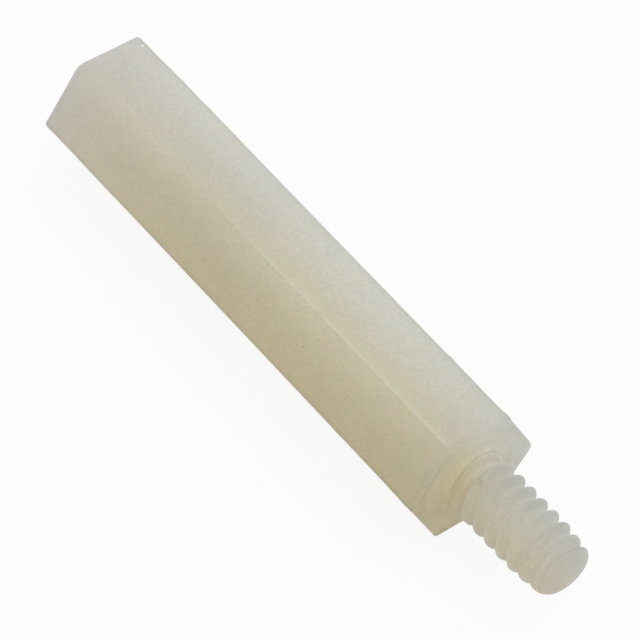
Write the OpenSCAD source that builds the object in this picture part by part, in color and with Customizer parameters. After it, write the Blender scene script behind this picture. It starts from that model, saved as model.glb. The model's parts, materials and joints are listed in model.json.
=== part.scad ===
// Hex standoff with a threaded stud on one end and a tapped hole in the other,
// moulded in one piece from natural nylon. It lies on one flat of the hexagon:
// X runs along the axis towards the stud, Z is up, and the origin is on the
// resting flat, halfway along the whole part.

/* [Hexagonal body] */
// Width across the flats
across_flats = 4.76; // [4.2:0.02:8]
// Length of the body, from the tapped end to the shoulder
body_length = 22.2; // [15:0.1:60]
// Radius of the six long edges
edge_radius = 0.16; // [0.06:0.01:0.6]
// Bevel around the rim of both end faces
rim_bevel = 0.12; // [0.04:0.01:0.3]

/* [Thread] */
// Nominal diameter of the thread, outside and inside
thread_size = 2.845; // [2.6:0.005:3]
// Distance from one turn to the next
thread_pitch = 0.635; // [0.45:0.005:0.7]

/* [Stud] */
// Length of the stud, from the shoulder to its tip
stud_length = 5.2; // [3:0.1:20]
// How far the moulded crests stop short of the nominal size, on each side
crest_shortfall = 0.1; // [0.1:0.01:0.15]
// How far its flanks lie inside those of a full thread, on each side
flank_shortfall = 0.14; // [0:0.01:0.14]
// Length over which the stud tapers towards its tip
lead_length = 1.47; // [0.5:0.01:2.5]
// Diameter at the end of that taper
tip_diameter = 2.3; // [1.4:0.02:2.4]
// Radius around the end of the tip
tip_radius = 0.21; // [0.05:0.01:0.4]

/* [Tapped hole] */
// Depth of the hole at its full diameter
hole_depth = 9.5; // [4:0.1:12]
// Diameter of the hole before it was tapped
drill_diameter = 2.26; // [2.2:0.01:2.4]
// Length of plain hole past the last turn of the thread
untapped_length = 1.3; // [0.5:0.1:3]
// Extra radius of the countersunk mouth over the thread
mouth_lip = 0.15; // [0.05:0.01:0.3]
// Angle of the drill's point
drill_point = 118; // [90:1:140]

/* [Hidden] */
$fn = 96;
arc_steps = 4;
sunk = 1;
cut_past = 1;
root_room = 0.02;

// Depth below the nominal size of the pitch line and of the stud's root, in pitches
pitch_line_depth = 0.3248;
root_depth = 0.626;

crest_r = thread_size / 2 - crest_shortfall;
pitch_r = thread_size / 2 - thread_pitch * pitch_line_depth;
root_r = thread_size / 2 - thread_pitch * root_depth;
flank_r = pitch_r - flank_shortfall;
tip_r = tip_diameter / 2;
drill_r = drill_diameter / 2;
tapped_r = thread_size / 2 + root_room;
mouth_r = thread_size / 2 + mouth_lip;
shoulder_x = (body_length - stud_length) / 2;

// Half the width of a ridge at a radius. Its flanks are 60 degrees apart, and
// at the radius called middle it takes up half of the pitch.
function ridge_half(r, middle) = thread_pitch / 4 - (r - middle) * tan(30);

// Points along one side of a thread, four to a turn. The first turn runs out
// into the end face at Z = 0, and the rest follow for as long as there is room.
function turns(inner, middle, outer, room) = let (
    foot = ridge_half(inner, middle),
    crest = ridge_half(outer, middle)
) [
    for (z = [0 : thread_pitch : room - foot]) each [
        [inner, z - foot],
        [outer, z - crest],
        [outer, z + crest],
        [inner, z + foot]
    ]
];

// Points of a quarter circle, from beside its centre to above it
function quarter_arc(centre, radius) = [
    for (step = [0 : arc_steps])
        centre + radius * [cos(90 * step / arc_steps), sin(90 * step / arc_steps)]
];

// Points of one rounded corner of the hexagon
function corner(turn) = [
    for (step = [0 : arc_steps])
        let (angle = turn + 60 * (step / arc_steps - 0.5))
        (across_flats / 2 - edge_radius) / cos(30) * [cos(turn), sin(turn)]
            + edge_radius * [cos(angle), sin(angle)]
];

// Half-space beyond the bevel on one side of an end face at Z = 0
module rim_cut() {
    reach = across_flats + body_length;
    translate([across_flats / 2 - rim_bevel, 0, 0])
        rotate([0, -45, 0])
            translate([0, -reach / 2, -reach / 2])
                cube(reach);
}

// Body along Z, from the tapped end below to the shoulder at Z = 0
module hex_body() {
    difference() {
        translate([0, 0, -body_length])
            linear_extrude(body_length)
                polygon([for (turn = [0 : 60 : 300]) each corner(turn)]);
        for (side = [30 : 60 : 330]) rotate([0, 0, side]) {
            rim_cut();
            translate([0, 0, -body_length]) mirror([0, 0, 1]) rim_cut();
        }
    }
}

// Stud up from the shoulder, its turns modelled as closed ridges
module stud() {
    rotate_extrude() intersection() {
        polygon(concat(
            [[0, -sunk], [root_r, -sunk]],
            turns(root_r, flank_r, crest_r, stud_length),
            [[root_r, stud_length], [0, stud_length]]
        ));
        polygon(concat(
            [[0, -sunk], [crest_r, -sunk], [crest_r, stud_length - lead_length]],
            quarter_arc([tip_r - tip_radius, stud_length - tip_radius], tip_radius),
            [[0, stud_length]]
        ));
    }
}

// Space of the tapped hole, going up from its mouth at Z = 0
module tapped_hole() {
    rotate_extrude() {
        polygon(concat(
            [[0, -cut_past], [drill_r, -cut_past]],
            turns(drill_r, pitch_r, tapped_r, hole_depth - untapped_length),
            [[drill_r, hole_depth], [0, hole_depth + drill_r / tan(drill_point / 2)]]
        ));
    }
    rotate_extrude() polygon([
        [0, -cut_past],
        [mouth_r + cut_past, -cut_past],
        [0, mouth_r]
    ]);
}

module standoff() {
    color("#c3bda2")
        translate([shoulder_x, 0, across_flats / 2]) rotate([90, 0, 90])
            difference() {
                union() {
                    hex_body();
                    stud();
                }
                translate([0, 0, -body_length]) tapped_hole();
            }
}

standoff();
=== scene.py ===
# %% [markdown]
# # A nylon hex standoff
#
# This lesson dresses a small moulded spacer: a hexagonal body with a threaded stud on one
# end and a tapped hole in the other, all one piece of natural nylon. The construction is
# already made elsewhere, as exact solids. Here the part gets its real surface: the soft
# edges of a moulding, a true spiral thread, and nylon that light sinks into.
#
# The first lines load those solids as a fixed frame. Everything below is in metres, and
# sits in the same place as the solids.

# %% Load the frame
import json
import math

import bmesh
import bpy
import numpy as np
from mathutils import Matrix, Vector


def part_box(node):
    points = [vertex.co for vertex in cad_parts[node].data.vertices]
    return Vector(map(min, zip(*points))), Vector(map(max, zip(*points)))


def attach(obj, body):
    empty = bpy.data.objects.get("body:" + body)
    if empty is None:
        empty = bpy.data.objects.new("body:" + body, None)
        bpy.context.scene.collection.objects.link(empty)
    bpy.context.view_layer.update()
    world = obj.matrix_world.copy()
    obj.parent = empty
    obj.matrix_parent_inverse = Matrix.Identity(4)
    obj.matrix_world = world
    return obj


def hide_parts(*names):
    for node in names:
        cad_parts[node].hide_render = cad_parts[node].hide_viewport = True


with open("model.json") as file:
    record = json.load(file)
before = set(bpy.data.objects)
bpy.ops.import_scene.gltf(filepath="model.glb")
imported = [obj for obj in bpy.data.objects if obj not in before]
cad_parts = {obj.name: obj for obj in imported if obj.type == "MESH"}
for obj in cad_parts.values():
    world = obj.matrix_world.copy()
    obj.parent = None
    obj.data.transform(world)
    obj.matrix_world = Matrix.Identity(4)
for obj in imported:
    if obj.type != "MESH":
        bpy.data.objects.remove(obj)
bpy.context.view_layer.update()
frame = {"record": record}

MM = 0.001

# %% [markdown]
# ## Sizes
#
# A looks-only model must not drift from the real sizes, so the main ones are measured off
# the frame: the box of the solid, and the mounts that its record states. They are turned
# into millimetres once, because every distance below is a small one.

# %% Sizes taken from the frame
low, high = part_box("standoff")
mounts = {mount["name"]: mount for mount in frame["record"]["mounts"]}
across_flats = (high[2] - low[2]) / MM
tapped_end_x = low[0] / MM
tip_x = high[0] / MM
axis_height = mounts["stud"]["pos_m"][2] / MM
shoulder_x = mounts["shoulder"]["pos_m"][0] / MM
crest_radius = mounts["stud"]["dims"]["r_mm"]
drill_radius = mounts["tapped_hole"]["dims"]["r_mm"]
body_length = shoulder_x - tapped_end_x
stud_length = tip_x - shoulder_x
print(f"body {body_length:.2f} x {across_flats:.2f} mm, stud {stud_length:.2f} mm")

# %% [markdown]
# The rest are the details that a record doesn't state. The thread is a No. 4 one with 40
# turns to the inch. Its moulded stud runs thinner than the standard's full form, because
# nylon shrinks as it cools and its crests come out of the mould rounded.

# %% Sizes of the thread
MM_PER_INCH = 25.4
turns_per_inch = 40
pitch = MM_PER_INCH / turns_per_inch
thread_size = 2.845
pitch_line_depth = 0.3248 * pitch
# How far the stud's flanks lie inside those of a full thread, on each side
flank_shortfall = 0.141
full_pitch_radius = thread_size / 2 - pitch_line_depth
stud_pitch_radius = full_pitch_radius - flank_shortfall
root_radius = 1.025
taper_length = 1.47
tip_radius = 1.149
tip_rounding = 0.21
root_fillet = 0.25
print(f"pitch {pitch:.3f} mm, flanks meet half the pitch at radius {stud_pitch_radius:.3f} mm")

# %% Sizes of the hole and of the body's edges
mouth_lip = 0.15
groove_room = 0.02
mouth_radius = thread_size / 2 + mouth_lip
groove_radius = thread_size / 2 + groove_room
hole_depth = 9.5
untapped_length = 1.3
tapped_depth = hole_depth - untapped_length
drill_point_angle = math.radians(118)
drill_point = drill_radius / math.tan(drill_point_angle / 2)
edge_rounding = 0.16
end_rounding = 0.09
shoulder_rounding = 0.06
print(f"hole {hole_depth} mm deep, tapped for {tapped_depth:.1f} mm")

# %% [markdown]
# ## The hexagon
#
# The body's outline is a regular hexagon with soft corners. Seen from the axis, the
# distance to a flat grows as 1/cos, and near a corner the distance to a small circle takes
# over. Written this way the outline is one formula of the angle, and a rounded rim is the
# same formula with the flats moved in a little.
#
# The columns of the mesh sit at fixed angles. They crowd towards the corners, where the
# surface turns, and thin out over the flats, where it doesn't.

# %% Distance from the axis to the hexagon
SIDES = 6
SECTOR = math.radians(360 / SIDES)
HALF_SECTOR = SECTOR / 2
# Rounding that a corner keeps, however far its flats move in
sharpest_corner = 0.02


def hexagon(angles, inset=0.0):
    """Distance to the rounded hexagon at each angle, with its flats moved in by inset."""
    half = across_flats / 2 - inset
    rounding = max(edge_rounding - inset, sharpest_corner)
    centre = (half - rounding) / math.cos(HALF_SECTOR)
    turn = np.mod(angles, SECTOR)
    off_corner = np.minimum(turn, SECTOR - turn)
    reach = math.atan2(rounding * math.sin(HALF_SECTOR), centre + rounding * math.cos(HALF_SECTOR))
    bow = np.sqrt(np.maximum(rounding**2 - (centre * np.sin(off_corner)) ** 2, 0))
    on_flat = half / np.cos(HALF_SECTOR - off_corner)
    return np.where(off_corner < reach, centre * np.cos(off_corner) + bow, on_flat)


# %% Angles of the mesh's columns
corner_columns = 9
flat_columns = 15


def column_angles():
    """Angles from the +Y direction towards +Z, crowded towards the six corners."""
    centre = (across_flats / 2 - edge_rounding) / math.cos(HALF_SECTOR)
    bends = np.linspace(-HALF_SECTOR, HALF_SECTOR, corner_columns)
    corner = np.arctan2(edge_rounding * np.sin(bends), centre + edge_rounding * np.cos(bends))
    share = (1 - np.cos(math.pi * np.arange(1, flat_columns + 1) / (flat_columns + 1))) / 2
    flat = corner[-1] + share * (SECTOR - 2 * corner[-1])
    sector = np.concatenate([corner, flat])
    return np.concatenate([sector + SECTOR * side for side in range(SIDES)])


angles = column_angles()
print(len(angles), "columns around the axis")

# %% [markdown]
# ## The thread
#
# A thread is one ridge that climbs a pitch for each turn. So the height of the surface
# depends on how far a point lies from the nearest turn, and that distance shifts with the
# angle. Two smooth limits round the ridge's crest and the groove's floor, as a mould does.

# %% Smooth limits
def soft_min(first, second, blend):
    """The smaller value, with the crossing rounded over the blend."""
    share = np.clip(0.5 + 0.5 * (second - first) / blend, 0, 1)
    return second + (first - second) * share - blend * share * (1 - share)


def soft_max(first, second, blend):
    """The larger value, with the crossing rounded over the blend."""
    return -soft_min(-first, -second, blend)


# %% Radius of a thread
FLANK = math.radians(30)
# Angle of the long edge that faces the camera, where the turns are counted from
near_edge = 2 * SECTOR


def thread(along, start, middle, floor, top, floor_blend, top_blend):
    """Radius of a right-hand thread at a distance along the axis, for every column.

    The turn passes the distance called start at the near edge, and its flanks take up
    half of the pitch at the radius called middle.
    """
    turns = (along - start) / pitch - (angles - near_edge) / math.tau
    off_crest = np.abs(turns - np.round(turns)) * pitch
    flank = middle + (pitch / 4 - off_crest) / math.tan(FLANK)
    return soft_max(soft_min(flank, top, top_blend), floor, floor_blend)


# %% [markdown]
# ## What moulding does to the shape
#
# As a moulding cools, its thick places shrink most, so each flat sinks along its middle,
# by between a hundredth and a tenth of a millimetre, one more than the next. The halves of
# the mould also leave traces: edges that swell a little, and tiny lumps of flash along
# them. Around the hole the walls are thin and cool evenly, so the flats sink less there.
# None of it changes what the part fits, but it decides how light runs along a flat and
# keeps the outline from looking drawn with a ruler.

# %% Sinking and flash
# How far each flat sinks, from the one above +Y round towards +Z
flat_sinks = np.array([0.0, 0.024, 0.01, 0.02, 0.04, 0.08])
# Share of a flat's sink that is left at the tapped end
sink_by_hole = 0.4
# What every flat sinks besides, halfway along the body
sink_in_middle = 0.016
# How far round its edge a swelling reaches
swelling_angle = math.radians(3)
# Each swelling, or dip, of an edge: corner in sixths of a turn, place along the axis,
# height and length
swellings = (
    (0, 8.45, -0.04, 0.4),
    (1, -13.6, -0.02, 0.3),
    (1, -12.6, -0.018, 0.5),
    (1, -11.6, 0.012, 0.4),
    (1, -10.9, 0.04, 0.18),
    (1, -10.45, 0.024, 0.15),
    (1, -9.2, 0.014, 0.15),
    (1, -8.5, 0.02, 2.4),
    (1, 5.12, 0.045, 0.12),
    (1, 5.9, 0.014, 0.5),
    (1, 8.35, 0.05, 0.25),
    (2, -13.6, -0.06, 0.3),
    (3, -13.4, 0.03, 0.3),
    (3, -12.7, 0.014, 0.3),
    (3, -11.9, -0.014, 0.25),
    (3, -10.2, 0.016, 1.6),
    (3, -2.6, -0.02, 3.2),
    (3, 4.1, 0.014, 0.15),
    (3, 7.3, 0.014, 0.3),
    (3, 8.1, 0.035, 0.35),
    (4, -2.6, -0.024, 3.2),
)


def unevenness(x):
    """How far the body's surface lies inside its true shape, for every column."""
    share = min(max((x - tapped_end_x) / body_length, 0), 1)
    solid = sink_by_hole + (1 - sink_by_hole) * share
    belly = math.sin(math.pi * share)
    over_flat = np.sin(math.pi * np.mod(angles, SECTOR) / SECTOR) ** 2
    flat = np.floor(np.mod(angles, math.tau) / SECTOR).astype(int) % SIDES
    inside = (flat_sinks[flat] * solid + sink_in_middle * belly) * over_flat
    for corner, place, height, length in swellings:
        off_corner = np.abs(np.mod(angles - corner * SECTOR + math.pi, math.tau) - math.pi)
        lump = np.exp(-(((x - place) / length) ** 2) - (off_corner / swelling_angle) ** 2)
        inside = inside - height * lump
    return inside


print(f"flats sink by up to {flat_sinks.max() + sink_in_middle:.3f} mm")

# %% [markdown]
# ## Rings
#
# In its topology the part is a ball: from the bottom of the drilled hole the surface comes
# out of the mouth, turns over the end face, runs down the body, in over the shoulder, along
# the stud, and closes at the tip. So the whole moulding is one stack of rings with the same
# columns, and the mesh is closed by construction.
#
# A solid made by joining a prism, a stud and a drill would need its meeting lines cleaned
# up afterwards. Here each meeting is just two rings that follow each other.

# %% How a ring is kept
rings = []


def ring(x, radii, shift=(0.0, 0.0)):
    """Adds one ring: a place along the axis, and a radius for each column."""
    radii = np.broadcast_to(radii, angles.shape).astype(float)
    across = radii * np.cos(angles) + shift[0]
    height = axis_height + (radii * np.sin(angles) + shift[1])
    points = [np.broadcast_to(x, angles.shape), across, height]
    rings.append(np.stack(points, axis=1) * MM)


def eased(start, end, steps):
    """Places from start to end, crowded towards both ends."""
    shares = [(1 - math.cos(math.pi * step / steps)) / 2 for step in range(steps + 1)]
    return [start + (end - start) * share for share in shares]


def quarter_turn(steps):
    """Angles of the rings between the two ends of a rounding."""
    return [math.radians(90 * step / steps) for step in range(1, steps)]


# Rows of the mesh in one turn of the thread, and how far apart they lie
rows_per_turn = 22
row = pitch / rows_per_turn
# Shares of the way across a flat face, where its rings lie
face_steps = (0.03, 0.3, 0.65, 0.97)

# %% [markdown]
# ### The hole
#
# A drill leaves a cone at the bottom and a plain stretch that the tap doesn't reach. The
# internal thread fades in over one turn, as a tap's own tapered start cuts it, and the
# mouth is countersunk at 45 degrees so that a screw finds its way in.

# %% Rings of the hole
hole_end_x = tapped_end_x + hole_depth
# The hole is hard to see into, so its rows lie twice as far apart as the stud's
bore_row = row * 2
groove_blend = 0.04
# Shares of the drill's radius at which the rings of its cone lie
cone_steps = (0.02, 0.35, 0.7, 0.97)
# Steps along the plain stretch
plain_steps = 5
for share in cone_steps:
    ring(hole_end_x + drill_point * (1 - share), drill_radius * share)
for x in eased(hole_end_x - row, tapped_end_x + tapped_depth + row, plain_steps):
    ring(x, drill_radius)
for step in range(int(tapped_depth / bore_row)):
    depth = tapped_depth - step * bore_row
    groove = thread(
        -depth,
        start=0.0,
        middle=full_pitch_radius,
        floor=drill_radius,
        top=groove_radius,
        floor_blend=groove_blend,
        top_blend=groove_blend,
    )
    fade = min(1, (tapped_depth - depth) / pitch)
    tapped = drill_radius + (groove - drill_radius) * fade
    countersink = mouth_radius - depth
    ring(tapped_end_x + depth, np.maximum(tapped, countersink))
print(len(rings), "rings so far")

# %% [markdown]
# ### The body
#
# The face of the tapped end runs from the mouth out to the hexagon, in shares of the way,
# so its rings change from a circle to a hexagon without a seam. A quarter turn of rounding
# follows, then the long flats, and the same rounding again at the shoulder.

# %% Rings of the body
rim_steps = 6
body_steps = 150
rim = hexagon(angles, end_rounding) - unevenness(tapped_end_x)
for share in (0.0, *face_steps, 1.0):
    ring(tapped_end_x, mouth_radius + (rim - mouth_radius) * share)
for bend in quarter_turn(rim_steps):
    x = tapped_end_x + end_rounding * (1 - math.cos(bend))
    ring(x, hexagon(angles, end_rounding * (1 - math.sin(bend))) - unevenness(x))
for x in eased(tapped_end_x + end_rounding, shoulder_x - shoulder_rounding, body_steps):
    ring(x, hexagon(angles) - unevenness(x))
for bend in quarter_turn(rim_steps):
    x = shoulder_x - shoulder_rounding * (1 - math.sin(bend))
    ring(x, hexagon(angles, shoulder_rounding * (1 - math.cos(bend))) - unevenness(x))
print(len(rings), "rings so far")

# %% [markdown]
# ### The stud
#
# A small fillet carries the stud's load into the shoulder, fuller on the side where the
# first turn starts, and that turn grows softly out of it. The last turns are cut down by a
# cone, and the tip is rounded over. The cone, the rounding and the thread are three limits
# on the same radius, joined by the soft minimum.
#
# The stud stands a hair off the body's centre, as the two ends of a mould never quite meet,
# and its tip is a little domed and slants a little to one side.

# %% The stud's profile
# Where the first crest passes the near edge, measured from the shoulder
stud_start = 0.234
# The soft limits shave a little off a crest, so it aims that much higher
crest_allowance = 0.0135
stud_crest = crest_radius + crest_allowance
stud_floor_blend = 0.22
stud_crest_blend = 0.102
taper_blend = 0.06
# How far the stud's axis lies from the body's, along Y and Z
stud_shift = (0.027, 0.0155)
tip_dome = 0.012
# How far the tip slants back, the angle at which it stands furthest out, and where along
# the stud the slant begins
tip_tilt = 0.045
tilt_angle = math.radians(30)
tilt_start = 3.9
# Shares of the tip's flat, from its rim to its middle, at which its rings lie
tip_steps = (0.97, 0.85, 0.6, 0.3, 0.04)


def stud_thread(along):
    """Radius of the stud's full thread at a distance from the shoulder."""
    return thread(
        along,
        start=stud_start,
        middle=stud_pitch_radius,
        floor=root_radius,
        top=stud_crest,
        floor_blend=stud_floor_blend,
        top_blend=stud_crest_blend,
    )


def stud_limit(along):
    """Largest radius of the stud at a distance from the shoulder, with its tapered end."""
    edge = stud_length - tip_dome
    taper_start = stud_length - taper_length
    taper_end = edge - tip_rounding
    if along <= taper_start:
        return crest_radius
    if along <= taper_end:
        share = (along - taper_start) / (taper_end - taper_start)
        return crest_radius + (tip_radius - crest_radius) * share
    rise = min(along - taper_end, tip_rounding)
    return tip_radius - tip_rounding + math.sqrt(tip_rounding**2 - rise**2)


# %% Rings of the shoulder and the stud
rim = hexagon(angles, shoulder_rounding) - unevenness(shoulder_x)
toward_first_turn = np.maximum(np.cos(angles - near_edge), 0)
fillet = root_fillet * (1 + toward_first_turn)
# The first turn merges with the fillet, softly at first and hardly at all past the reach
foot_softness = 0.12
least_merging = 0.1
foot_blend = foot_softness * (1 + 2 * toward_first_turn)
foot_reach = 0.6
foot = soft_max(stud_thread(0.0), root_radius + fillet, foot_blend)
for share in (0.0, *face_steps):
    shift = (stud_shift[0] * share, stud_shift[1] * share)
    ring(shoulder_x, rim * (1 - share) + foot * share, shift)
tilt = tip_tilt * (1 - np.cos(angles - tilt_angle)) / 2
for step in range(int((stud_length - tip_dome) / row) + 1):
    along = step * row
    rise = np.maximum(fillet - along, 0)
    cove = root_radius + fillet - np.sqrt(fillet**2 - rise**2)
    merging = max(1 - along / foot_reach, least_merging)
    radii = soft_max(stud_thread(along), cove, foot_blend * merging)
    tilted = max(along - tilt_start, 0) / (stud_length - tilt_start)
    x = shoulder_x + along - tilt * tilted
    ring(x, soft_min(radii, stud_limit(along), taper_blend), stud_shift)
for share in tip_steps:
    x = tip_x - tip_dome * share**2 - tilt * share
    ring(x, (tip_radius - tip_rounding) * share, stud_shift)
print(len(rings), "rings in all")

# %% [markdown]
# ## From rings to a mesh
#
# Each pair of rings is joined by a band of four-sided faces, and the first and last ring
# are closed by a small face. The shading is smooth except where two faces meet at more than
# 40 degrees: at the edge of the countersink, around the stud's foot, on the edge of the
# tip, and where the crests and grooves of a thread bend most tightly.

# %% Make the mesh
sharpest_soft_turn = math.radians(40)


def moulding(name):
    """One closed mesh through all the rings."""
    mesh = bpy.data.meshes.new(name)
    form = bmesh.new()
    loops = [[form.verts.new(point) for point in points] for points in rings]
    for inner, outer in zip(loops, loops[1:]):
        for k in range(len(angles)):
            after = (k + 1) % len(angles)
            form.faces.new((inner[k], inner[after], outer[after], outer[k]))
    form.faces.new(reversed(loops[0]))
    form.faces.new(loops[-1])
    bmesh.ops.recalc_face_normals(form, faces=form.faces)
    form.to_mesh(mesh)
    form.free()
    mesh.shade_smooth()
    mesh.set_sharp_from_angle(angle=sharpest_soft_turn)
    piece = bpy.data.objects.new(name, mesh)
    bpy.context.collection.objects.link(piece)
    return piece


standoff = moulding("nylon_standoff")
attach(standoff, "root")
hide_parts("standoff")
print(len(standoff.data.polygons), "faces")

# %% [markdown]
# ## Shader maths as expressions
#
# Node graphs are hard to read back, while the maths behind them is a line or two. So one
# small class wraps a socket and gives it Python's operators. Numbers go through Math nodes,
# vectors through Vector Math, and colours through Mix, whichever the widest operand needs.

# %% A socket that works in expressions
class Value:
    """A number, vector or colour inside a shader."""

    def __init__(self, graph, socket):
        self.graph = graph
        self.socket = socket
        self.type = socket.type

    def __add__(self, other):
        return self.graph.combine("ADD", self, other)

    def __radd__(self, other):
        return self.graph.combine("ADD", other, self)

    def __sub__(self, other):
        return self.graph.combine("SUBTRACT", self, other)

    def __rsub__(self, other):
        return self.graph.combine("SUBTRACT", other, self)

    def __mul__(self, other):
        return self.graph.combine("MULTIPLY", self, other)

    def __rmul__(self, other):
        return self.graph.combine("MULTIPLY", other, self)

    def __truediv__(self, other):
        return self.graph.combine("DIVIDE", self, other)

    def __rtruediv__(self, other):
        return self.graph.combine("DIVIDE", other, self)

    def __pow__(self, other):
        return self.graph.math("POWER", self, other)

    def __rpow__(self, other):
        return self.graph.math("POWER", other, self)

    def __neg__(self):
        return self * -1

    def __abs__(self):
        return self.graph.math("ABSOLUTE", self)


# %% The graph that makes the nodes
WIDTHS = {"VALUE": 1, "VECTOR": 3, "RGBA": 4}


class Graph:
    """The nodes of one material or world, made by plain calls."""

    def __init__(self, owner):
        owner.use_nodes = True
        self.tree = owner.node_tree
        self.tree.nodes.clear()

    def node(self, kind, settings=None, values=()):
        """Adds a node: settings first, then a constant or a link for each input."""
        made = self.tree.nodes.new(kind)
        for name, setting in (settings or {}).items():
            setattr(made, name, setting)
        inputs = [socket for socket in made.inputs if socket.enabled]
        if isinstance(values, dict):
            named = {socket.name: socket for socket in inputs}
            inputs = [named[name] for name in values]
            values = values.values()
        for socket, value in zip(inputs, values):
            if isinstance(value, Value):
                self.tree.links.new(value.socket, socket)
            else:
                socket.default_value = value
        return {socket.name: Value(self, socket) for socket in made.outputs if socket.enabled}

    def math(self, operation, *values):
        """One Math node."""
        return self.node("ShaderNodeMath", {"operation": operation}, values)["Value"]

    def mix(self, share, first, second, blend="MIX"):
        """A colour between two colours, or two colours blended."""
        settings = {"data_type": "RGBA", "blend_type": blend}
        return self.node("ShaderNodeMix", settings, [share, first, second])["Result"]

    def combine(self, operation, first, second):
        """Two values, at least one of them a socket, joined by an operator."""
        operands = (first, second)
        width = max(WIDTHS[value.type] for value in operands if isinstance(value, Value))
        width = max([width] + [len(value) for value in operands if isinstance(value, tuple)])
        if width == WIDTHS["VALUE"]:
            return self.math(operation, first, second)
        first, second = (self.widened(value, width) for value in operands)
        if width == WIDTHS["RGBA"]:
            return self.mix(1.0, first, second, operation)
        settings = {"operation": operation}
        return self.node("ShaderNodeVectorMath", settings, [first, second])["Vector"]

    def widened(self, value, width):
        """A plain number as a vector, or as an opaque colour. The rest stays as it is."""
        if isinstance(value, (int, float)):
            vector = (value,) * WIDTHS["VECTOR"]
            return vector + (1.0,) * (width - WIDTHS["VECTOR"])
        return value

    def between(self, value, start, end, first=0.0, last=1.0):
        """Eases from first to last while the value goes from start to end."""
        settings = {"interpolation_type": "SMOOTHSTEP"}
        ramp = [value, start, end, first, last]
        return self.node("ShaderNodeMapRange", settings, ramp)["Result"]

    def fading(self, distance, reach):
        """One at no distance, dying away over the reach."""
        return self.math("EXPONENT", -distance / reach)

    def grey(self, level):
        """A grey colour of a level."""
        return self.node("ShaderNodeCombineColor", values=[level, level, level])["Color"]

    def noise(self, place, scale, detail=2.0):
        """Smooth cloudy noise around zero, from about -0.5 to 0.5."""
        values = {"Vector": place, "Scale": scale, "Detail": detail}
        return self.node("ShaderNodeTexNoise", {"normalize": True}, values)["Fac"] - 0.5

    def distance(self, place, centre):
        """Distance between two places."""
        settings = {"operation": "DISTANCE"}
        return self.node("ShaderNodeVectorMath", settings, [place, centre])["Value"]

    def surface(self, shader, kind="ShaderNodeOutputMaterial"):
        """Sends a shader to the output."""
        self.node(kind, values={"Surface": shader})


def srgb(red, green, blue):
    """A colour as scene light, from the levels that a colour picker shows."""

    def channel(level):
        # The curve of the sRGB standard: straight in its darkest part, then a power
        share = level / 255
        if share <= 0.04045:
            return share / 12.92
        return ((share + 0.055) / 1.055) ** 2.4

    return (channel(red), channel(green), channel(blue), 1.0)


# %% [markdown]
# ## Nylon
#
# Natural nylon 6/6 is a milky ivory. Light goes a few millimetres into it, so shadows fill
# in, faces differ little in tone, and the colour depends on how much nylon the light has
# crossed: deeper and yellower on one side, paler and greyer where it is thin. Nylon also
# yellows as it takes up heat in the mould, which gives it faint clouds and streaks.
#
# Scattering is part of the Principled shader and does the softening. The drift in colour is
# slower than anything scattering makes, so it is painted light and shade, written as maths
# on the place in the part.

# %% Where a point lies in the part
material = bpy.data.materials.new("natural_nylon")
nylon = Graph(material)
coordinates = nylon.node("ShaderNodeTexCoord")
place = coordinates["Object"] / MM
axes = nylon.node("ShaderNodeSeparateXYZ", values=[place])
along, across, height = axes["X"], axes["Y"], axes["Z"] - axis_height
radius = nylon.math("SQRT", across**2 + height**2)
from_tapped_end = along - tapped_end_x
past_shoulder = along - shoulder_x
facing = nylon.node("ShaderNodeSeparateXYZ", values=[coordinates["Normal"]])
# Direction of the painted drift from shade to light: across the part and a little upwards,
# towards the window lamp
drift_across, drift_up = 0.86, 0.51
drift = across * drift_across + height * drift_up
# The ridge is the near edge, where the two flats in view meet
ridge_across = -across_flats / 2 * math.tan(HALF_SECTOR)
ridge_drift = drift_across * ridge_across + drift_up * across_flats / 2
off_ridge = drift - ridge_drift
# Distance to the nearest flat, seen from inside, and to the rim of the shoulder
slant = math.cos(HALF_SECTOR)
first_pair = abs(across * slant + height / 2)
second_pair = abs(across * slant - height / 2)
nearest_pair = nylon.math("MAXIMUM", nylon.math("MAXIMUM", first_pair, second_pair), abs(height))
under_flat = across_flats / 2 - nearest_pair
from_rim = nylon.math("SQRT", under_flat**2 + past_shoulder**2)
print("the ridge lies", round(ridge_drift, 3), "mm along the drift")

# %% [markdown]
# ### Colour
#
# These tones are painted light and shade. Three tones follow the drift from deep to pale,
# deeper and yellower away from the window lamp and paler towards it, and a fourth dulls the
# palest edge again. Towards the tapped end all of them turn greyer within a few millimetres,
# painted for the light that passes through the thin walls around the hole, and the stud is
# painted greyer still.
#
# A single colour ramp could hold such a list, but mixing in one tone at a time keeps each
# under its own name, and lets each fade over its own stretch.

# %% Tones of the body
deep_ivory = srgb(181, 169, 136)
middle_ivory = srgb(193, 186, 160)
pale_ivory = srgb(198, 196, 184)
far_ivory = srgb(192, 192, 181)
wall_ivory = srgb(190, 187, 181)
widest = across_flats / math.sqrt(3)
# How far the painted grey of the thin walls reaches along the body, and how strong it is at
# the end
wall_reach, wall_share = 3.4, 0.7
# Painted light and shade: deep away from the window lamp, pale towards it
body_tone = nylon.mix(nylon.between(drift, -widest, 0.3), deep_ivory, middle_ivory)
body_tone = nylon.mix(nylon.between(drift, -0.3, widest * 0.7), body_tone, pale_ivory)
body_tone = nylon.mix(nylon.between(drift, widest * 0.6, widest), body_tone, far_ivory)
near_walls = nylon.fading(from_tapped_end, wall_reach) * wall_share
body_tone = nylon.mix(near_walls, body_tone, wall_ivory)
print(f"the body's tones drift over {2 * widest:.2f} mm")

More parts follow.
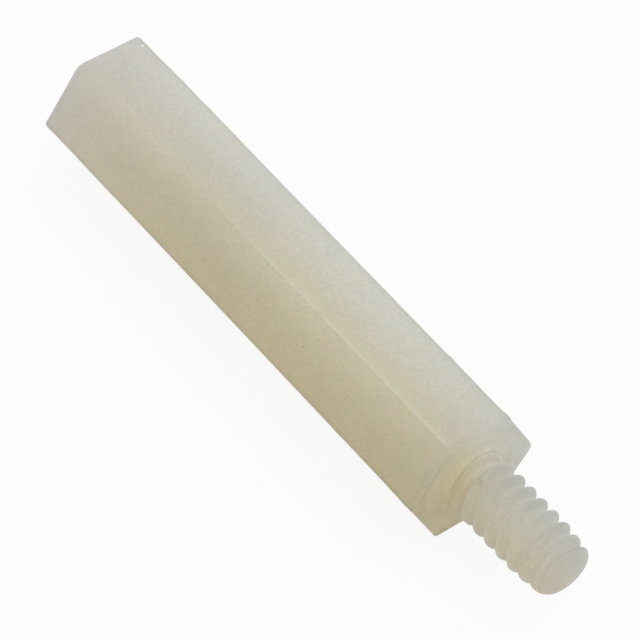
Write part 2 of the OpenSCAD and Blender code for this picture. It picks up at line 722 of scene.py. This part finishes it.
# %% Tones of the stud
# Painted light and shade on the stud, drifting the same way as on the body
stud_deep = srgb(187, 178, 154)
stud_middle = srgb(183, 180, 167)
stud_pale = srgb(176, 177, 170)
stud_blend_start, stud_blend_end = -0.25, 1.4
stud_tone = nylon.mix(nylon.between(drift, -crest_radius, 0.6), stud_deep, stud_middle)
stud_tone = nylon.mix(nylon.between(drift, 0.3, crest_radius), stud_tone, stud_pale)
stud_share = nylon.between(past_shoulder, stud_blend_start, stud_blend_end)
tone = nylon.mix(stud_share, body_tone, stud_tone)
print(f"the stud's tones take over within {stud_blend_end - stud_blend_start:.1f} mm")

# %% [markdown]
# ### Painted light and shade in thin places and nooks
#
# Light that has entered nylon leaves it again a long way off. In thin places, such as rims,
# crests and the tip, much of it is lost through the far side and the colour looks deeper. In
# nooks and near the table, light comes back from the surfaces around, and the colour looks
# paler. The shader's own scattering follows only a part of that way, so the rest is painted
# into the colour here as light and shade, place by place.
#
# Each shade is a share of the colour's brightness: 0.05 makes a place 5 percent paler, and
# -0.05 makes it 5 percent deeper. At the end they are all added to 1. Most are ramps: what
# the ramp follows, where it starts and ends, in millimetres, and the shade at either end.
#
# The first ones belong to the body: the side near the table, the stretch over the hole, the
# last millimetres before the shoulder, and the long edges.

# %% Shades of the body
# Painted light near the table and over the hole, painted shade before the shoulder
underside = nylon.between(height, -across_flats / 2, -0.7, 0.42, 0.0)
over_hole = nylon.between(from_tapped_end, 4.0, 12.0, 0.06, 0.0)
over_hole = over_hole * nylon.between(from_tapped_end, 0.4, 3.0)
near_sides = nylon.between(radius, 1.9, 2.4)
before_reach, before_shade = 2.0, -0.13
before_shoulder = nylon.fading(-past_shoulder, before_reach) * near_sides * before_shade
last_stretch = nylon.between(past_shoulder, -0.7, -0.15, 0.0, -0.02) * near_sides
last_stretch = last_stretch * nylon.between(drift, -0.3, 1.0, 1.0, 0.0)
body_shades = [underside, over_hole, before_shoulder, last_stretch]

# %% Shades of the long edges
# Painted shade along the long edges
beside_ridge = nylon.between(abs(off_ridge), 0.3, 1.5, 0.5, 1.0)
edges = nylon.between(radius, 2.55, 2.75, 0.0, -0.05) * beside_ridge
far_from_ridge = nylon.between(abs(off_ridge), 1.0, 2.0)
outer_edges = nylon.between(radius, 2.67, 2.72, 0.0, -0.06) * far_from_ridge
# Along the ridge the steeper flat gets a little painted light, and the level one a little
# painted shade
ridge_reach = 0.5
ridge = nylon.fading(abs(off_ridge), ridge_reach)
ridge = ridge * nylon.between(facing["Z"], 0.55, 0.95, 0.02, -0.02)
body_shades += [edges, outer_edges, ridge]
print(len(body_shades), "shades on the body")

# %% [markdown]
# The end faces come next. Their rims are thin, the tapped end's most of all, as there is a
# hole behind it, and they get painted shade. The shoulder gets painted light close to the
# table, painted shade in its upper part, and a little painted light again along its top.

# %% Shades of the end faces
on_stud = nylon.between(past_shoulder, -0.02, 0.06)
on_shoulder = nylon.between(facing["X"], 0.7, 0.95) * (1 - on_stud)
pale_side = nylon.between(drift, 0.6, 2.2, 0.0, -0.035)
deep_side = nylon.between(drift, -1.2, 0.3, 0.022, 0.0)
near_table = nylon.between(height, -2.3, -1.6, 0.2, 0.0)
upper_part = nylon.between(height, 0.6, 1.4, 0.0, -0.055)
upper_part = upper_part * nylon.between(height, 1.7, 2.3, 1.0, -0.5)
shoulder = on_shoulder * (deep_side + pale_side + near_table + upper_part)
tapped_rim_reach = 0.42
tapped_rim = nylon.fading(from_tapped_end, tapped_rim_reach)
tapped_rim = tapped_rim * nylon.between(drift, -1.6, 1.6, -0.38, -0.22)
shoulder_rim_reach, shoulder_rim_shade = 0.1, -0.065
shoulder_rim = nylon.fading(from_rim, shoulder_rim_reach) * shoulder_rim_shade
end_shades = [shoulder, tapped_rim, shoulder_rim]
print(len(end_shades), "shades on the end faces")

# %% [markdown]
# The foot of the stud is the deepest nook on the part. Painted light lifts the nook and the
# first groove until they are hardly darker than the shoulder, and paints a soft pale ring
# around them, with a little painted shade on the fillet. The first turn gets painted shade
# on its near flank and painted light past it.

# %% Shades at the stud's foot
from_foot = nylon.math("SQRT", past_shoulder**2 + (radius - root_radius) ** 2)
nook = nylon.between(from_foot, 0.1, 0.8, 0.19, -0.03)
groove_start = nylon.between(past_shoulder, 0.0, 0.1, 0.03, 0.18)
groove_end = nylon.between(past_shoulder, 0.14, 0.24, 1.0, 0.0)
first_groove = groove_start * groove_end * nylon.between(radius, 1.2, 1.3, 1.0, 0.0)
on_fillet = nylon.between(radius, 1.17, 1.27) * on_stud
fillet_shade = on_fillet * nylon.between(past_shoulder, 0.12, 0.2, -0.05, 0.0)
near_flank = nylon.between(past_shoulder, 0.1, 0.3, 0.0, -0.13)
far_flank = nylon.between(past_shoulder, 0.3, 0.5, 0.0, 0.19)
first_turn = (near_flank + far_flank) * nylon.between(past_shoulder, 0.5, 1.1, 1.0, 0.3)
first_turn = first_turn * on_stud
foot_shades = [nook, first_groove, fillet_shade, first_turn]
print(len(foot_shades), "shades at the stud's foot")

# %% [markdown]
# Along the thread the grooves get painted light and the crests painted shade, which hides
# most of the turns, as milky plastic does. The tip is thin, open to the light on all sides,
# and painted shade deepens the colour towards it.

# %% Shades of the thread and the tip
valleys = nylon.between(radius, root_radius, root_radius + 0.2, 0.08, -0.05) * on_stud
crests = nylon.between(radius, crest_radius - 0.12, crest_radius - 0.03, 0.0, -0.05) * on_stud
crests = crests * nylon.between(facing["X"], -0.4, 0.5)
back_flanks = nylon.between(facing["X"], -0.9, 0.3, 0.13, 0.0) * on_stud
tip = nylon.between(past_shoulder, 3.4, 4.3, 0.0, -0.095)
tip = tip + nylon.between(past_shoulder, 4.55, stud_length, 0.0, -0.2)
thread_shades = [valleys, crests, back_flanks, tip]
print(len(thread_shades), "shades on the thread")

# %% All the shades together
shades = body_shades + end_shades + foot_shades + thread_shades
# All the painted light and shade, as one factor on the colour
tone = tone * nylon.grey(sum(shades, start=1))
print(len(shades), "shades in all")

# %% [markdown]
# ### Marks
#
# Seen close, the part isn't clean. Along its stud half the near edge carries a painted
# highlight: a pale line where the rounded edge would catch the light. A pale line painted
# along the whole edge would look drawn, so this one rises sharply on one side, dies away on
# the other, and comes and goes with a noise along its length.

# %% Painted highlight on the near edge
# White of the painted highlight, also used for one pale speck below
highlight_and_spot_white = srgb(214, 209, 196)
# Past the ridge: where the line starts, where it is strongest, and how slowly it dies away
line_start, line_place, line_width = 0.02, 0.09, 0.13
line_strength = 0.3
breakup_scale, breakup_depth = 2.5, 0.9
line_rise = nylon.between(off_ridge, line_start, line_place)
line_fall = nylon.math("MINIMUM", nylon.fading(off_ridge - line_place, line_width), 1.0)
on_top = nylon.between(height, 2.1, 2.3) * nylon.between(radius, 2.45, 2.55)
stud_half = nylon.between(along, -6.5, -0.5) * nylon.between(past_shoulder, -0.4, -0.1, 1.0, 0.0)
# A noise breaks the painted highlight up along its length
highlight_breakup = 1 + nylon.noise(place, breakup_scale) * breakup_depth
painted_highlight = line_rise * line_fall * on_top * stud_half * highlight_breakup
tone = nylon.mix(painted_highlight * line_strength, tone, highlight_and_spot_white)
print(f"highlight line {line_width} mm wide")

# %% [markdown]
# A few dark specks are burnt nylon that came loose in the moulding machine. Two specks are
# pale, one of them in the white of the painted highlight, and a brownish streak lies at the
# foot of the stud, on its near side. Each is a soft ball in space that tints the surface
# where it cuts through it, so nothing has to be unwrapped or painted.


# %% Specks
# Share of a speck's size that has its full tone
speck_core = 0.3


def spot(centre, size):
    """One at a place in the part, falling to zero at a distance from it."""
    off_centre = nylon.distance(place, centre)
    return nylon.between(off_centre, size * speck_core, size, 1.0, 0.0)


burnt = srgb(150, 128, 84)
pale_speck_white = srgb(232, 230, 224)
# Each speck: place in millimetres from the shared origin, size, strength and tone
specks = (
    ((-1.59, -2.05, 3.55), 0.09, 0.3, burnt),
    ((1.11, -2.03, 3.58), 0.1, 0.35, burnt),
    ((6.34, -1.42, 4.68), 0.12, 0.25, burnt),
    ((9.43, -0.53, 3.45), 0.2, 0.25, burnt),
    ((-13.18, 1.2, 4.76), 0.08, 0.9, pale_speck_white),
    ((9.02, 0.26, 3.39), 0.16, 0.8, highlight_and_spot_white),
)
for centre, size, strength, colour in specks:
    tone = nylon.mix(spot(centre, size) * strength, tone, colour)
print(len(specks), "specks")

# %% The streak
brown = srgb(172, 150, 98)
# The part is squeezed across and upwards first, so that the ball becomes a long streak.
# The streak's centre is a place in that squeezed part.
streak_squeeze = (1.0, 0.6, 0.45)
streak_centre = (8.85, -0.6, 1.2)
streak_core, streak_size, streak_strength = 0.1, 0.7, 0.25
off_streak = nylon.distance(place * streak_squeeze, streak_centre)
streak = nylon.between(off_streak, streak_core, streak_size, streak_strength, 0.0)
tone = nylon.mix(streak, tone, brown)
print(len(nylon.tree.nodes), "nodes so far")

# %% [markdown]
# ### Clouds and grain
#
# Nylon sets in tiny crystals, and never evenly, so soft clouds a millimetre or two wide and
# a fine grain cover everything. The same two noises vary the brightness, the roughness and a
# bump of about two thousandths of a millimetre, and a third one tints the colour a little.

# %% Clouds and grain
# Each noise: how many of its features fit in a millimetre, and how far it moves the tone
cloud_scale, cloud_depth = 0.8, 0.05
grain_scale, grain_depth = 9.0, 0.28
tint_scale, tint_depth = 2.0, 0.1
least_tint = 0.975
clouds = nylon.noise(place, cloud_scale, detail=3.0)
grain = nylon.noise(place, grain_scale)
tint_values = {"Vector": place, "Scale": tint_scale, "Detail": 2.0}
tint = nylon.node("ShaderNodeTexNoise", values=tint_values)["Color"]
tone = tone * nylon.grey(1 + clouds * cloud_depth + grain * grain_depth)
tone = tone * (tint * tint_depth + least_tint)
bump_height = 0.002 * MM
bump = {"Strength": 1.0, "Distance": bump_height, "Height": grain + clouds}
texture = nylon.node("ShaderNodeBump", values=bump)
print(f"bump of {bump_height / MM} mm")

# %% Shader of the nylon
scatter_reach = 8 * MM
satin, cloud_roughness, grain_roughness = 0.55, 0.2, 0.1
shader = nylon.node("ShaderNodeBsdfPrincipled", {"subsurface_method": "RANDOM_WALK"}, {
    "Base Color": tone,
    "Roughness": satin + clouds * cloud_roughness + grain * grain_roughness,
    "Normal": texture["Normal"],
    "IOR": 1.53,
    "Subsurface Weight": 0.35,
    "Subsurface Radius": (1.0, 1.0, 1.0),
    "Subsurface Scale": scatter_reach,
    "Specular IOR Level": 0.3,
})["BSDF"]
nylon.surface(shader)
standoff.data.materials.append(material)
print(len(nylon.tree.nodes), "nodes in the nylon")

# %% [markdown]
# ## The table
#
# The part lies on a plain white table. What the camera sees of it directly is mostly plain
# white, and the rest is ordinary matt board, which bounces light up under the part and
# keeps a faint shadow. Lighting the table harder instead would also bleach the part.

# %% Table
table_size = 1.2
table_mesh = bpy.data.meshes.new("table")
form = bmesh.new()
bmesh.ops.create_grid(form, x_segments=1, y_segments=1, size=table_size / 2)
form.to_mesh(table_mesh)
form.free()
table = bpy.data.objects.new("table", table_mesh)
bpy.context.collection.objects.link(table)

table_material = bpy.data.materials.new("white_board")
board = Graph(table_material)
plain_white = (1.0, 1.0, 1.0, 1.0)
board_white = (0.88, 0.88, 0.88, 1.0)
plain_share = 0.88
ray = board.node("ShaderNodeLightPath")
matt = board.node("ShaderNodeBsdfDiffuse", values={"Color": board_white})["BSDF"]
plain = board.node("ShaderNodeEmission", values={"Color": plain_white, "Strength": 1.0})["Emission"]
share = ray["Is Camera Ray"] * plain_share
mixed = board.node("ShaderNodeMixShader", values=[share, matt, plain])["Shader"]
board.surface(mixed)
table_mesh.materials.append(table_material)
print(f"table {table_size} m wide, {plain_share:.0%} plain white to the camera")

# %% [markdown]
# ## Light
#
# A white tent gives almost all of the light: the same from every side, as small parts are
# often shown in a catalogue. It makes a colour render about as it is written. Two soft lamps
# add a little direction, one from a window side above and one low in front of the stud.

# %% World
world = bpy.data.worlds.new("tent")
bpy.context.scene.world = world
tent = Graph(world)
ray = tent.node("ShaderNodeLightPath")
seen = tent.math("MAXIMUM", ray["Is Camera Ray"], ray["Is Glossy Ray"])
seen = tent.math("MAXIMUM", seen, ray["Is Transmission Ray"])
tent_light = {"Color": plain_white, "Strength": 0.9}
tent_look = {"Color": plain_white, "Strength": 1.0}
cloth = tent.node("ShaderNodeBackground", values=tent_light)["Background"]
white = tent.node("ShaderNodeBackground", values=tent_look)["Background"]
mixed = tent.node("ShaderNodeMixShader", values=[seen, cloth, white])["Shader"]
tent.surface(mixed, "ShaderNodeOutputWorld")
print("tent lights at", tent_light["Strength"], "and looks", tent_look["Strength"])


# %% Lamps
def softbox(name, place, size, power):
    """A square lamp at a place in millimetres, that shines at the part."""
    lamp = bpy.data.lights.new(name, "AREA")
    lamp.shape = "SQUARE"
    lamp.size = size * MM
    lamp.energy = power
    stand = bpy.data.objects.new(name, lamp)
    bpy.context.collection.objects.link(stand)
    stand.location = Vector(place) * MM
    stand.rotation_mode = "QUATERNION"
    stand.rotation_quaternion = (-stand.location).to_track_quat("-Z", "Y")


softbox("window", place=(0, 120, 150), size=120, power=0.04)
softbox("low_card", place=(180, -60, 40), size=100, power=0.07)
print(len(bpy.data.lights), "lamps")

# %% [markdown]
# ## Camera
#
# A long lens from well above, so the body's sides run almost parallel. The camera is
# placed by its direction from the part, and then rolled a little about its line of sight.

# %% Camera
camera_azimuth = math.radians(47.34)
camera_elevation = math.radians(48.68)
camera_roll = math.radians(7.07)
camera_distance = 196.74 * MM
camera_aim = Vector((-0.373, -0.033, axis_height)) * MM
sensor_width = 36
focal_length = 306.55
nearest_seen = 10 * MM
backward = Vector((
    math.sin(camera_azimuth) * math.cos(camera_elevation),
    -math.cos(camera_azimuth) * math.cos(camera_elevation),
    math.sin(camera_elevation),
))
lens = bpy.data.cameras.new("camera")
lens.sensor_width = sensor_width
lens.lens = focal_length
lens.clip_start = nearest_seen
camera = bpy.data.objects.new("camera", lens)
bpy.context.collection.objects.link(camera)
camera.location = camera_aim + backward * camera_distance
level = (-backward).to_track_quat("-Z", "Y")
camera.rotation_mode = "QUATERNION"
camera.rotation_quaternion = Matrix.Rotation(camera_roll, 3, backward).to_quaternion() @ level
bpy.context.scene.camera = camera
bpy.context.scene.view_settings.view_transform = "Standard"
print("camera stands", round(camera.location.length / MM), "mm away")
